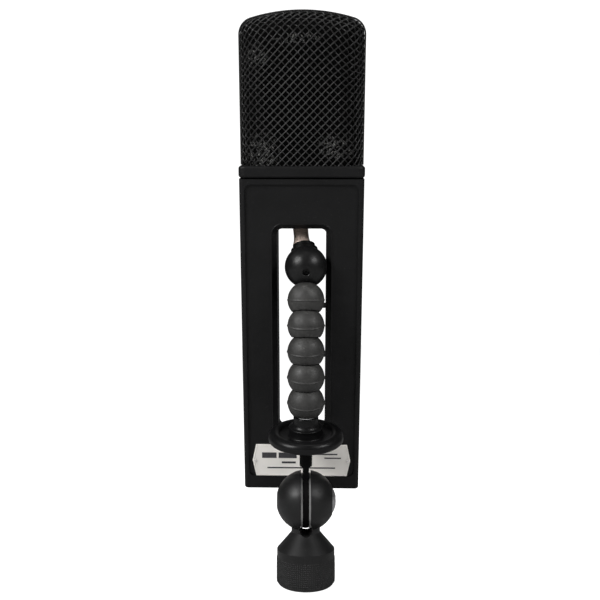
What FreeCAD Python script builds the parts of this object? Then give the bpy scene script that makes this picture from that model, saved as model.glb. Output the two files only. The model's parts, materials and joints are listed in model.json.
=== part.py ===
import FreeCAD, Part
import math
import os
import Sketcher

# Side-address studio microphone on a beaded snake arm, millimetres.
# Origin: centre of the stand adapter's bottom face. +Z runs up the adapter's axis,
# -Y is the front (the side with the nameplate) and +X is to the right of someone facing it.

DIMENSIONS = {
    # stand adapter: knurled grip, cone, neck and slotted ball
    "grip_radius": 12.45, "grip_height": 15.5, "grip_edge": 2.5,
    "neck_radius": 6.2, "cone_top": 22.7,
    "pivot_height": 36.1, "head_radius": 12.95, "flat_left": 12.5, "flat_right": 11.4,
    "fork_gap": 4.2, "relief_radius": 3, "relief_drop": 11.3,
    "insert_radius": 9, "thread_radius": 7.6, "thread_depth": 15,
    # pivot hardware
    "screw_radius": 2.5, "screw_head_radius": 5.6, "screw_head_rise": 1.8, "hex_radius": 2.3,
    "nut_radius": 3.2, "nut_depth": 4, "washer_radius": 11.7, "washer_thickness": 0.75,
    # tongue and flange, measured from the pivot along the foot's own axis
    "tongue_thickness": 2.7, "eye_radius": 11.4, "eye_bore": 2.56, "tongue_neck": 2.7,
    "boss_start": 16.5, "flange_height": 29.94, "flange_radius": 16,
    "rim_bottom": 2, "rim_side": 1.2, "rim_edge": 0.5, "floor_thickness": 1.2, "lip_inner": 13.8,
    "dish": 0.8, "dish_edge": 0.5, "hub_radius": 7, "hub_top": 4.8, "hub_edge": 0.8, "hub_curve": 5.6,
    "hub_waist": 5, "waist_top": 8,
    "seat_height": 9, "seat_radius": 4.5, "seat_top": 10,
    # beads and their core
    "bead_radius": 7.8, "bead_pitch": 10.86, "bead_gap": 0.15, "ridge_radius": 8, "ridge_half": 0.35,
    "core_radius": 2, "core_gap": 0.6, "first_bead": 15.2, "first_bead_base": 5.2,
    # top ball, its collar and the stud
    "ball_radius": 8.92, "ball_pitch": 14.56, "skirt_radius": 4.7,
    "grub_pitch": 5, "grub_radius": 1.3, "grub_depth": 6, "grub_recess": 1.2, "grub_hex": 0.75,
    "collar_gap": 0.12, "collar_step_radius": 5.8, "collar_step": 8.5,
    "collar_ring_radius": 4.8, "collar_ring": 10.2,
    "collar_bevel": 0.4, "stud_waist": 3, "stud_head": 3.4, "stud_flare": 3.9,
    "stud_flare_rise": 0.8, "stud_grip": 8, "anchor_half_width": 8, "anchor_height": 11,
    # microphone body, heights measured from its bottom face
    "body_width": 52.5, "body_depth": 23, "body_corner": 1.8,
    "cap_height": 3.3, "cap_edge": 0.8, "body_top": 141.4,
    "wall": 2.2, "bottom_rim": 2.9, "recess": 0.7, "recess_corner": 3,
    "slot_width": 21.26, "slot_bottom": 24, "slot_top": 120.3, "slot_corner": 2.4,
    "plate_thickness": 2.6, "slot_chamfer": 2.3, "liner_wall": 1.8,
    # grille and its collar
    "gasket_top": 141.9, "gasket_inset": 0.6, "collar_width": 52.9, "collar_depth": 24.4,
    "collar_top": 146.75, "collar_edge": 1.1, "collar_ledge": 144.2, "collar_inner": 3,
    "grille_width": 51.6, "grille_depth": 22.4, "grille_top": 208.6,
    "crown_radius": 75, "crown_corner": 6.5, "crown_bend": 9.5,
    "grille_wall": 0.9, "lining_inset": 1.7, "lining_wall": 0.35,
    "hoop_width": 2.2, "hoop_rise": 0.5,
    # capsule
    "capsule_height": 178.6, "capsule_ring_radius": 17, "capsule_radius": 13.5,
    "capsule_half": 4.2, "backplate_half": 3.2, "diaphragm": 0.25,
    "saddle_half_width": 9, "saddle_bottom": 151.5, "saddle_top": 165.5, "isolator_half_depth": 6,
    "bulkhead_top": 143.8,
    # electronics
    "board_bottom": 32, "board_top": 115, "board_thickness": 1.6, "board_setback": 4.2,
    "can_radius": 3.1, "can_length": 6.5, "chip_side": 5, "chip_height": 3,
    # switches in the right wall of the slot
    "pattern_height": 84.5, "pad_height": 61.5, "lever_size": 2, "lever_reach": 1.7,
    "lever_travel": 2, "lever_clearance": 0.3, "switch_width": 6.3, "switch_height": 11,
    "switch_depth": 7.8, "switch_room": 3.2,
    # nameplate
    "plate_low": 6.4, "plate_high": 21.8, "plate_half": 20.7, "plate_tip": 22.3, "plate_sheet": 0.4,
    "rivet_radius": 0.7, "rivet_place": 21.2,
    # three-pin connector in the bottom
    "sleeve_radius": 9.75, "socket_radius": 8.1, "sleeve_top": 20, "insert_bottom": 14,
    "sleeve_clearance": 0.15, "sleeve_inset": 0.3,
    "pin_radius": 1.2, "pin_circle": 4.1, "pin_tip": 5.2, "pin_top": 21.5,
    # fasteners
    "small_screw_radius": 2.2, "small_screw_height": 0.6, "rear_screw_x": 19.5,
    "rear_screw_low": 12, "rear_screw_middle": 72, "rear_screw_high": 134, "cap_screw_x": 18,
}

# How the assembly stands at rest, in degrees and millimetres.
FOOT_LEAN = 15
LEAN_PER_BEAD = 5.29
MIC_LEAN = 15.9
MIC_YAW = -1.2
MIC_REFERENCE = FreeCAD.Vector(-1.618, 5.974, 124.52)
MIC_REFERENCE_HEIGHT = 87.9
BEAD_COUNT = 5

# Where the stud's shape changes, as parts of its visible length.
TAPER_END = 0.2
WAIST_START = 0.4
WAIST_END = 0.7
HEAD_START = 0.9

# Heights of the cans and chips on the two circuit boards, in turn can, chip, can ...
LEFT_PARTS = (40, 50, 60, 74, 88, 102, 111)
RIGHT_PARTS = (38, 47, 73.5, 98, 108)

X_AXIS = FreeCAD.Vector(1, 0, 0)
Y_AXIS = FreeCAD.Vector(0, 1, 0)
Z_AXIS = FreeCAD.Vector(0, 0, 1)
ORIGIN = FreeCAD.Vector(0, 0, 0)

DOC = FreeCAD.newDocument("StudioMicrophone")
NODES = {}


def make_sheet():
    sheet = DOC.addObject("Spreadsheet::Sheet", "Dims")
    for row, (alias, value) in enumerate(DIMENSIONS.items(), start=1):
        sheet.set(f"A{row}", alias)
        sheet.set(f"B{row}", str(value))
        sheet.setAlias(f"B{row}", alias)
    DOC.recompute()
    return sheet


SHEET = make_sheet()


def size(expression):
    """The value of an expression over the sheet's aliases, written with a # before each alias."""
    return float(SHEET.evalExpression(expression.replace("#", "")))


def bound(expression):
    """The same expression as other objects write it."""
    return expression.replace("#", "Dims.")


def keep(label, item, place=None):
    """Name an object as a node and put it in its place."""
    item.Label = label
    if place is not None:
        item.Placement = place
    NODES[label] = item
    return item


# ---------------------------------------------------------------- sketches and features

def new_body(name):
    return DOC.addObject("PartDesign::Body", name)


def new_sketch(body, role, name, offset=None):
    sketch = body.newObject("Sketcher::SketchObject", name)
    plane = next(item for item in body.Origin.OriginFeatures if item.Role == role)
    sketch.AttachmentSupport = [(plane, "")]
    sketch.MapMode = "FlatFace"
    if offset is not None:
        sketch.setExpression("AttachmentOffset.Base.z", bound(offset))
    return sketch


def arc_between(start, end, radius, turn):
    """The short arc from start to end; turn is 1 for anticlockwise and -1 for clockwise."""
    middle = (start + end) * 0.5
    half = (end - start).Length / 2
    side = FreeCAD.Vector(-(end - start).y, (end - start).x, 0).normalize()
    centre = middle + side * (turn * math.sqrt(max(radius * radius - half * half, 0)))
    first, last = (start, end) if turn > 0 else (end, start)
    angles = [math.atan2(point.y - centre.y, point.x - centre.x) for point in (first, last)]
    return Part.ArcOfCircle(Part.Circle(centre, Z_AXIS, radius), angles[0], angles[1])


def outline(sketch, corners):
    """A closed loop. Each corner is (x, y), or (x, y, radius, turn) where an arc leaves it."""
    base = sketch.GeometryCount
    count = len(corners)
    points = [FreeCAD.Vector(size(corner[0]), size(corner[1]), 0) for corner in corners]
    turns = [corner[3] if len(corner) > 2 else 0 for corner in corners]
    for index, corner in enumerate(corners):
        start = points[index]
        end = points[(index + 1) % count]
        if turns[index]:
            sketch.addGeometry(arc_between(start, end, size(corner[2]), turns[index]))
        else:
            sketch.addGeometry(Part.LineSegment(start, end))
    ends = [(2, 1) if turn < 0 else (1, 2) for turn in turns]
    for index in range(count):
        follower = (index + 1) % count
        sketch.addConstraint(Sketcher.Constraint(
            "Coincident", base + index, ends[index][1], base + follower, ends[follower][0]))
    for index, corner in enumerate(corners):
        for kind, axis in (("DistanceX", 0), ("DistanceY", 1)):
            value = points[index][axis]
            number = sketch.addConstraint(Sketcher.Constraint(
                kind, -1, 1, base + index, ends[index][0], value))
            if "#" in corner[axis]:
                sketch.setExpression(f"Constraints[{number}]", bound(corner[axis]))
        if turns[index]:
            number = sketch.addConstraint(Sketcher.Constraint(
                "Radius", base + index, size(corner[2])))
            sketch.setExpression(f"Constraints[{number}]", bound(corner[2]))


def rounded_rectangle(sketch, left, right, low, high, radius):
    """A rectangle with rounded corners; the sides are expressions."""
    outline(sketch, [
        (f"{left} + {radius}", low),
        (f"{right} - {radius}", low, radius, 1),
        (right, f"{low} + {radius}"),
        (right, f"{high} - {radius}", radius, 1),
        (f"{right} - {radius}", high),
        (f"{left} + {radius}", high, radius, 1),
        (left, f"{high} - {radius}"),
        (left, f"{low} + {radius}", radius, 1),
    ])


def circle(sketch, x, y, radius):
    index = sketch.addGeometry(Part.Circle(FreeCAD.Vector(size(x), size(y), 0), Z_AXIS, size(radius)))
    for kind, value in (("DistanceX", x), ("DistanceY", y)):
        number = sketch.addConstraint(Sketcher.Constraint(kind, -1, 1, index, 3, size(value)))
        if "#" in value:
            sketch.setExpression(f"Constraints[{number}]", bound(value))
    number = sketch.addConstraint(Sketcher.Constraint("Radius", index, size(radius)))
    sketch.setExpression(f"Constraints[{number}]", bound(radius))


def revolve(body, sketch, name, kind="PartDesign::Revolution", axis="V_Axis"):
    feature = body.newObject(kind, name)
    feature.Profile = sketch
    feature.ReferenceAxis = (sketch, [axis])
    feature.Angle = 360
    DOC.recompute()
    return feature


def pad(body, sketch, name, length, symmetric=False, reverse=False):
    feature = body.newObject("PartDesign::Pad", name)
    feature.Profile = sketch
    feature.setExpression("Length", bound(length))
    feature.SideType = "Symmetric" if symmetric else "One side"
    feature.Reversed = reverse
    DOC.recompute()
    return feature


def pocket(body, sketch, name, length, symmetric=False, reverse=False):
    """Cut the sketch out of the body and make sure that something was cut."""
    before = body.Shape.Volume
    feature = body.newObject("PartDesign::Pocket", name)
    feature.Profile = sketch
    feature.Type = "Length"
    feature.setExpression("Length", bound(length))
    feature.SideType = "Symmetric" if symmetric else "One side"
    feature.Reversed = reverse
    DOC.recompute()
    if body.Shape.Volume > before - 1e-4:
        raise RuntimeError(f"{body.Label}: {name} cuts nothing")
    return feature


def dress(body, name, kind, radius, test):
    """Fillet or chamfer the edges of the body's tip that pass the test."""
    tip = body.Tip
    edges = [f"Edge{i}" for i, edge in enumerate(tip.Shape.Edges, start=1) if test(edge)]
    if not edges:
        raise RuntimeError(f"{body.Label}: {name} finds no edge")
    feature = body.newObject(f"PartDesign::{kind}", name)
    feature.Base = (tip, edges)
    feature.setExpression("Radius" if kind == "Fillet" else "Size", bound(radius))
    DOC.recompute()
    return feature


def spans(edge, axis):
    box = edge.BoundBox
    return (box.XLength, box.YLength, box.ZLength)[axis]


def primitive(kind, name, values, place=None):
    """A Part primitive with its sizes bound to the sheet."""
    item = DOC.addObject(f"Part::{kind}", name)
    for key, expression in values.items():
        item.setExpression(key, bound(expression))
    if place is not None:
        item.Placement = place
    return item


def block(name, low, high):
    """A box between two corners given as expressions."""
    item = DOC.addObject("Part::Box", name)
    for key, start, end in zip(("Length", "Width", "Height"), low, high):
        item.setExpression(key, bound(f"({end}) - ({start})"))
    for key, start in zip("xyz", low):
        item.setExpression(f"Placement.Base.{key}", bound(start))
    return item


def cylinder_along(name, radius, start, end, axis):
    """A cylinder between two points; axis is the direction from start to end."""
    item = DOC.addObject("Part::Cylinder", name)
    item.setExpression("Radius", bound(radius))
    item.Height = (end - start).Length
    item.Placement = FreeCAD.Placement(start, FreeCAD.Rotation(Z_AXIS, axis))
    return item


def cut(name, base, tool):
    item = DOC.addObject("Part::Cut", name)
    item.Base = base
    item.Tool = tool
    return item


def group(name, items):
    item = DOC.addObject("Part::Compound", name)
    item.Links = items
    return item


# ---------------------------------------------------------------- stand adapter

def make_swivel_base():
    body = new_body("SwivelBase")
    profile = new_sketch(body, "XZ_Plane", "BaseProfile")
    neck_meets_ball = "#pivot_height - sqrt(#head_radius^2 - #neck_radius^2)"
    outline(profile, [
        ("0", "#thread_depth + 0.5"),
        ("#insert_radius", "#thread_depth + 0.5"),
        ("#insert_radius", "0"),
        ("#grip_radius - #grip_edge", "0", "#grip_edge", 1),
        ("#grip_radius", "#grip_edge"),
        ("#grip_radius", "#grip_height"),
        ("#neck_radius", "#cone_top"),
        ("#neck_radius", neck_meets_ball, "#head_radius", 1),
        ("#head_radius", "#pivot_height", "#head_radius", 1),
        ("0", "#pivot_height + #head_radius"),
    ])
    revolve(body, profile, "BaseTurning")
    reach = "2 * #head_radius"
    for side, near, far in (("Left", "0 - #flat_left", f"0 - {reach}"), ("Right", "#flat_right", reach)):
        sketch = new_sketch(body, "XY_Plane", f"Flat{side}", "#pivot_height")
        outline(sketch, [(near, f"0 - {reach}"), (far, f"0 - {reach}"), (far, reach), (near, reach)])
        pocket(body, sketch, f"Flat{side}Cut", reach, symmetric=True)
    slot = new_sketch(body, "XZ_Plane", "ForkSlot")
    floor = "#pivot_height - #relief_drop"
    half = "#fork_gap / 2"
    top = "#pivot_height + #head_radius + 1"
    outline(slot, [(f"0 - {half}", floor), (half, floor), (half, top), (f"0 - {half}", top)])
    pocket(body, slot, "ForkCut", reach, symmetric=True)
    relief = new_sketch(body, "XZ_Plane", "ReliefHole")
    circle(relief, "0", floor, "#relief_radius")
    pocket(body, relief, "ReliefCut", reach, symmetric=True)
    bore = new_sketch(body, "YZ_Plane", "PivotBore")
    circle(bore, "0", "#pivot_height", "#screw_radius")
    pocket(body, bore, "PivotCut", reach, symmetric=True)
    seat = new_sketch(body, "YZ_Plane", "NutSeat", "0 - #flat_left + #nut_depth")
    circle(seat, "0", "#pivot_height", "#nut_radius")
    pocket(body, seat, "NutSeatCut", "#nut_depth")
    keep("swivel_base", body)


def make_thread_insert():
    body = new_body("ThreadInsert")
    profile = new_sketch(body, "XZ_Plane", "InsertProfile")
    outline(profile, [
        ("#thread_radius", "0"), ("#insert_radius", "0"),
        ("#insert_radius", "#thread_depth"), ("#thread_radius", "#thread_depth"),
    ])
    revolve(body, profile, "InsertTurning")
    keep("thread_insert", body)


def make_pivot_hardware():
    across = FreeCAD.Placement(FreeCAD.Vector(0, 0, size("#pivot_height")), FreeCAD.Rotation(Y_AXIS, 90))
    body = new_body("PivotScrew")
    profile = new_sketch(body, "XZ_Plane", "ScrewProfile")
    dome = "(#screw_head_radius^2 + #screw_head_rise^2) / (2 * #screw_head_rise)"
    end = "0.6 - #flat_left"
    outline(profile, [
        ("0", end), ("#screw_radius", end), ("#screw_radius", "#flat_right"),
        ("#screw_head_radius", "#flat_right", dome, 1), ("0", "#flat_right + #screw_head_rise"),
    ])
    revolve(body, profile, "ScrewTurning")
    recess = new_sketch(body, "XY_Plane", "HexRecess", "#flat_right + #screw_head_rise")
    corners = [(f"#hex_radius * cos({60 * i})", f"#hex_radius * sin({60 * i})") for i in range(6)]
    outline(recess, corners)
    pocket(body, recess, "HexCut", "#screw_head_rise")
    keep("pivot_screw", body, across)

    nut = new_body("PivotNut")
    profile = new_sketch(nut, "XZ_Plane", "NutProfile")
    outline(profile, [
        ("#screw_radius", "0 - #flat_left + 0.2"), ("#nut_radius", "0 - #flat_left + 0.2"),
        ("#nut_radius", "#nut_depth - #flat_left"), ("#screw_radius", "#nut_depth - #flat_left"),
    ])
    revolve(nut, profile, "NutTurning")
    keep("pivot_nut", nut, across)

    for side, start in (("left", "0 - #fork_gap / 2"), ("right", "#fork_gap / 2 - #washer_thickness")):
        washer = new_body(f"Washer_{side}")
        sketch = new_sketch(washer, "XY_Plane", f"WasherRing_{side}", start)
        circle(sketch, "0", "0", "#washer_radius")
        circle(sketch, "0", "0", "#screw_radius")
        pad(washer, sketch, f"WasherPad_{side}", "#washer_thickness")
        keep(f"friction_washer_{side}", washer, across)


# ---------------------------------------------------------------- arm

def leaning(angle):
    return FreeCAD.Rotation(X_AXIS, angle)


def arm_places():
    """Placements of the foot, of each bead from 5 down to 1 and of the ball."""
    pivot = FreeCAD.Vector(0, 0, size("#pivot_height"))
    places = {"pivot": FreeCAD.Placement(pivot, leaning(FOOT_LEAN))}
    foot = pivot + leaning(FOOT_LEAN).multVec(Z_AXIS) * size("#flange_height")
    places["flange"] = FreeCAD.Placement(foot, leaning(FOOT_LEAN))
    point = foot + leaning(FOOT_LEAN).multVec(Z_AXIS) * size("#first_bead")
    places[f"bead_{BEAD_COUNT}"] = FreeCAD.Placement(point, leaning(FOOT_LEAN))
    lean = FOOT_LEAN
    for number in range(BEAD_COUNT - 1, 0, -1):
        lean -= LEAN_PER_BEAD
        point = point + leaning(lean).multVec(Z_AXIS) * size("#bead_pitch")
        places[f"bead_{number}"] = FreeCAD.Placement(point, leaning(lean))
    lean -= LEAN_PER_BEAD
    point = point + leaning(lean).multVec(Z_AXIS) * size("#ball_pitch")
    places["ball"] = FreeCAD.Placement(point, leaning(lean))
    return places


ARM = arm_places()


def make_tilt_tongue():
    """A flat eye between the friction washers, with a round boss up to the flange."""
    body = new_body("TiltTongue")
    sketch = new_sketch(body, "YZ_Plane", "TongueOutline")
    shoulder = "sqrt(#eye_radius^2 - #tongue_neck^2)"
    outline(sketch, [
        ("#tongue_neck", shoulder), ("#tongue_neck", "#flange_height - #rim_bottom"),
        ("0 - #tongue_neck", "#flange_height - #rim_bottom"),
        ("0 - #tongue_neck", shoulder, "#eye_radius", 1), ("0", "0 - #eye_radius", "#eye_radius", 1),
    ])
    pad(body, sketch, "TonguePad", "#tongue_thickness", symmetric=True)
    boss = new_sketch(body, "XY_Plane", "BossRing", "#boss_start")
    circle(boss, "0", "0", "#tongue_neck")
    pad(body, boss, "BossPad", "#flange_height - #rim_bottom - #boss_start")
    bore = new_sketch(body, "YZ_Plane", "EyeBore")
    circle(bore, "0", "0", "#eye_bore")
    pocket(body, bore, "EyeCut", "2 * #tongue_thickness", symmetric=True)
    keep("tilt_tongue", body, ARM["pivot"])


def make_flange():
    """The round foot plate with its raised lip, dished top and waisted hub."""
    body = new_body("Flange")
    profile = new_sketch(body, "XZ_Plane", "FlangeProfile")
    lip_curve = "(#flange_radius - #lip_inner) * 0.52"
    outline(profile, [
        ("#core_radius", "#floor_thickness - #rim_bottom"),
        ("0", "#floor_thickness - #rim_bottom"),
        ("0", "0 - #rim_bottom"),
        ("#flange_radius - #rim_edge", "0 - #rim_bottom"),
        ("#flange_radius", "#rim_edge - #rim_bottom"),
        ("#flange_radius", "#rim_side", lip_curve, 1),
        ("#lip_inner", "#rim_side"),
        ("#lip_inner - #dish_edge", "#dish"),
        ("#hub_radius", "#dish"),
        ("#hub_radius", "#hub_top - #hub_edge", "#hub_edge", 1),
        ("#hub_radius - #hub_edge", "#hub_top", "#hub_curve", -1),
        ("#hub_waist", "#waist_top"),
        ("#hub_waist", "#seat_height"),
        ("#core_radius", "#seat_height"),
    ])
    revolve(body, profile, "FlangeTurning")
    keep("flange_disc", body, ARM["flange"])

    washer = new_body("SeatWasher")
    profile = new_sketch(washer, "XZ_Plane", "SeatProfile")
    outline(profile, [
        ("#core_radius", "#seat_height"), ("#seat_radius", "#seat_height"),
        ("#seat_radius", "#seat_top"), ("#core_radius", "#seat_top"),
    ])
    revolve(washer, profile, "SeatTurning")
    keep("seat_washer", washer, ARM["flange"])


def make_beads():
    """Hollow beads. Each one's underside is a cup that rides on the bead below."""
    top = "sqrt(#bead_radius^2 - #core_radius^2)"
    edge = "sqrt(#bead_radius^2 - #ridge_half^2)"
    cup = "(#bead_radius + #bead_gap)"
    rim = f"(({cup}^2 - #bead_radius^2 - #bead_pitch^2) / (2 * #bead_pitch))"
    rim_radius = f"sqrt(#bead_radius^2 - {rim}^2)"
    ridge = [
        (edge, "0 - #ridge_half"), ("#ridge_radius", "0"), (edge, "#ridge_half", "#bead_radius", 1),
    ]
    for number in range(1, BEAD_COUNT + 1):
        body = new_body(f"Bead{number}")
        profile = new_sketch(body, "XZ_Plane", f"BeadProfile{number}")
        if number == BEAD_COUNT:
            base_radius = "sqrt(#bead_radius^2 - #first_bead_base^2)"
            bottom = [
                ("#core_radius", "0 - #first_bead_base"),
                (base_radius, "0 - #first_bead_base", "#bead_radius", 1),
            ]
        else:
            cup_top = f"(sqrt({cup}^2 - #core_radius^2) - #bead_pitch)"
            bottom = [("#core_radius", cup_top, cup, -1), (rim_radius, rim, "#bead_radius", 1)]
        outline(profile, bottom + ridge + [("#core_radius", top)])
        revolve(body, profile, f"BeadTurning{number}")
        keep(f"bead_{number}", body, ARM[f"bead_{number}"])

        if number == BEAD_COUNT:
            low = "#floor_thickness - #rim_bottom - #first_bead"
        else:
            low = f"sqrt({cup}^2 - #core_radius^2) - #bead_pitch + #core_gap"
        sizes = {"Radius": "#core_radius", "Height": f"{top} - ({low})"}
        core = primitive("Cylinder", f"Core{number}", sizes)
        core.setExpression("Placement.Base.z", bound(low))
        if number == BEAD_COUNT:
            node = group(f"CoreNode{number}", [core])
        else:
            shell = primitive("Sphere", f"CoreEnd{number}", {"Radius": "#bead_radius"})
            node = DOC.addObject("Part::MultiCommon", f"CoreNode{number}")
            node.Shapes = [core, shell]
        keep(f"core_{number}", node, ARM[f"bead_{number}"])


def make_top_ball():
    body = new_body("TopBall")
    profile = new_sketch(body, "XZ_Plane", "BallProfile")
    cup = "(#bead_radius + #bead_gap)"
    skirt_bottom = f"(sqrt({cup}^2 - #skirt_radius^2) - #ball_pitch)"
    meets = "(0 - sqrt(#ball_radius^2 - #skirt_radius^2))"
    outline(profile, [
        ("0", f"{cup} - #ball_pitch", cup, -1),
        ("#skirt_radius", skirt_bottom),
        ("#skirt_radius", meets, "#ball_radius", 1),
        ("#ball_radius", "0", "#ball_radius", 1),
        ("0", "#ball_radius"),
    ])
    revolve(body, profile, "BallTurning")
    # the hole faces the front, pitched a little down, and aims at the ball's centre
    hole = new_sketch(body, "XZ_Plane", "GrubHole")
    pitch = FreeCAD.Rotation(X_AXIS, size("#grub_pitch"))
    hole.AttachmentOffset = FreeCAD.Placement(pitch.multVec(Z_AXIS) * size("#ball_radius + 1"), pitch)
    circle(hole, "0", "0", "#grub_radius")
    pocket(body, hole, "GrubCut", "#grub_depth + 1")
    keep("top_ball", body, ARM["ball"])
    return hole


def make_grub_screw(hole):
    """A socket set screw sunk into the ball's front hole."""
    inward = hole.Placement.Rotation.multVec(Z_AXIS) * -1
    mouth = hole.Placement.Base + inward
    start = mouth + inward * size("#grub_recess")
    end = mouth + inward * size("#grub_depth")
    screw = cylinder_along("GrubBar", "#grub_radius", start, end, inward)
    socket = cylinder_along("GrubSocket", "#grub_hex", start, start + inward * 1.5, inward)
    keep("grub_screw", cut("GrubNode", screw, socket), ARM["ball"])


# ---------------------------------------------------------------- microphone placement

def mic_place():
    turn = leaning(MIC_LEAN).multiply(FreeCAD.Rotation(Z_AXIS, MIC_YAW))
    foot = MIC_REFERENCE - turn.multVec(Z_AXIS) * MIC_REFERENCE_HEIGHT
    return FreeCAD.Placement(foot, turn)


MIC = mic_place()


def stud_ends():
    """The ball's centre and the point where the stud enters the slot's top wall."""
    root = MIC.multVec(FreeCAD.Vector(0, 0, size("#slot_top")))
    return ARM["ball"].Base, root


def make_collar_and_stud():
    """A stepped collar that rides on the ball, and the waisted stud that carries the microphone."""
    ball, root = stud_ends()
    axis = (root - ball).normalize()
    place = FreeCAD.Placement(ball, FreeCAD.Rotation(Z_AXIS, axis))
    body = new_body("BallCollar")
    profile = new_sketch(body, "XZ_Plane", "CollarProfile")
    cup = "(#ball_radius + #collar_gap)"
    outline(profile, [
        ("0", cup),
        ("0", "#collar_ring"),
        ("#collar_ring_radius", "#collar_ring"),
        ("#collar_ring_radius", "#collar_step"),
        ("#collar_step_radius - #collar_bevel", "#collar_step"),
        ("#collar_step_radius", "#collar_step - #collar_bevel"),
        ("#collar_step_radius", f"sqrt({cup}^2 - #collar_step_radius^2)", cup, 1),
    ])
    revolve(body, profile, "CollarTurning")
    keep("ball_collar", body, place)

    length = (root - ball).Length
    start = size("#collar_ring")
    flare = size("#stud_flare_rise")
    span = length - start
    end = length + size("#stud_grip")
    stud = new_body("CouplingStud")
    profile = new_sketch(stud, "XZ_Plane", "StudProfile")
    outline(profile, [
        ("0", f"{start}"),
        ("#stud_flare", f"{start}"),
        ("#stud_flare", f"{start + flare}"),
        ("(#stud_waist + #stud_head) / 2", f"{start + flare + span * TAPER_END}"),
        ("#stud_waist", f"{start + span * WAIST_START}"),
        ("#stud_waist", f"{start + span * WAIST_END}"),
        ("#stud_head", f"{start + span * HEAD_START}"),
        ("#stud_head", f"{end}"),
        ("0", f"{end}"),
    ])
    revolve(stud, profile, "StudTurning")
    keep("coupling_stud", stud, place)
    return place, length


# ---------------------------------------------------------------- microphone body

HALF_WIDTH = "#body_width / 2"
OPEN_HALF = "(#body_width / 2 - #wall)"
OPEN_LOW = "(#cap_height + #bottom_rim)"
OPEN_HIGH = "(#body_top - #wall)"
SLOT_HALF = "(#slot_width / 2)"
LINER_HALF = "(#slot_width / 2 + #liner_wall)"
PLATE_BACK = "(#body_depth / 2 - #recess - #plate_thickness)"


def make_body_frame():
    """The outer ring of the body, open at the front and the back."""
    body = new_body("BodyFrame")
    sketch = new_sketch(body, "XZ_Plane", "FrameRing")
    outline(sketch, [
        (f"0 - {HALF_WIDTH}", "#cap_height"), (HALF_WIDTH, "#cap_height"),
        (HALF_WIDTH, "#body_top"), (f"0 - {HALF_WIDTH}", "#body_top"),
    ])
    rounded_rectangle(sketch, f"0 - {OPEN_HALF}", OPEN_HALF, OPEN_LOW, OPEN_HIGH, "#recess_corner")
    pad(body, sketch, "FramePad", "#body_depth", symmetric=True)
    limit = size(HALF_WIDTH) - 0.01
    dress(body, "FrameCorners", "Fillet", "#body_corner",
          lambda edge: spans(edge, 2) > 100 and abs(edge.CenterOfMass.x) > limit)
    bore = new_sketch(body, "XY_Plane", "ConnectorBore", "#cap_height - 1")
    circle(bore, "0", "0", "#sleeve_radius")
    pocket(body, bore, "ConnectorCut", "#bottom_rim + 2", reverse=True)
    wires = new_sketch(body, "XY_Plane", "WireHole", "#body_top + 1")
    circle(wires, "0", "0", "#stud_head")
    pocket(body, wires, "WireCut", "#wall + 2")
    keep("body_frame", body, MIC)


def make_bottom_cap():
    body = new_body("BottomCap")
    sketch = new_sketch(body, "XY_Plane", "CapOutline")
    depth = "#body_depth / 2"
    rounded_rectangle(sketch, f"0 - {HALF_WIDTH}", HALF_WIDTH, f"0 - {depth}", depth, "#body_corner")
    circle(sketch, "0", "0", "#sleeve_radius")
    pad(body, sketch, "CapPad", "#cap_height")
    outer = size(HALF_WIDTH) * 0.6
    dress(body, "CapEdge", "Fillet", "#cap_edge",
          lambda edge: edge.BoundBox.ZMax < 0.01 and edge.BoundBox.DiagonalLength > 2
          and max(abs(edge.CenterOfMass.x), abs(edge.CenterOfMass.y) * 2) > outer)
    keep("bottom_cap", body, MIC)


def make_face_plates():
    """Front and rear plates, each with the chamfered opening of the slot."""
    for side, offset in (("front", PLATE_BACK), ("rear", f"0 - {PLATE_BACK} - #plate_thickness")):
        body = new_body(f"FacePlate_{side}")
        sketch = new_sketch(body, "XZ_Plane", f"PlateOutline_{side}", offset)
        rounded_rectangle(sketch, f"0 - {OPEN_HALF}", OPEN_HALF, OPEN_LOW, OPEN_HIGH, "#recess_corner")
        rounded_rectangle(sketch, f"0 - {SLOT_HALF}", SLOT_HALF, "#slot_bottom", "#slot_top", "#slot_corner")
        pad(body, sketch, f"PlatePad_{side}", "#plate_thickness")
        face = size("#body_depth / 2 - #recess") * (-1 if side == "front" else 1)
        inside = size(SLOT_HALF) + 0.01
        dress(body, f"SlotChamfer_{side}", "Chamfer", "#slot_chamfer",
              lambda edge: spans(edge, 1) < 0.01 and abs(edge.CenterOfMass.y - face) < 0.01
              and max(abs(edge.BoundBox.XMax), abs(edge.BoundBox.XMin)) < inside)
        room = new_sketch(body, "XY_Plane", f"SleeveRoom_{side}", f"{OPEN_LOW} - 1")
        circle(room, "0", "0", "#sleeve_radius + #sleeve_clearance")
        pocket(body, room, f"SleeveRoomCut_{side}", f"#sleeve_top - {OPEN_LOW} + 1 + #sleeve_clearance",
               reverse=True)
        keep(f"face_plate_{side}", body, MIC)


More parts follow.
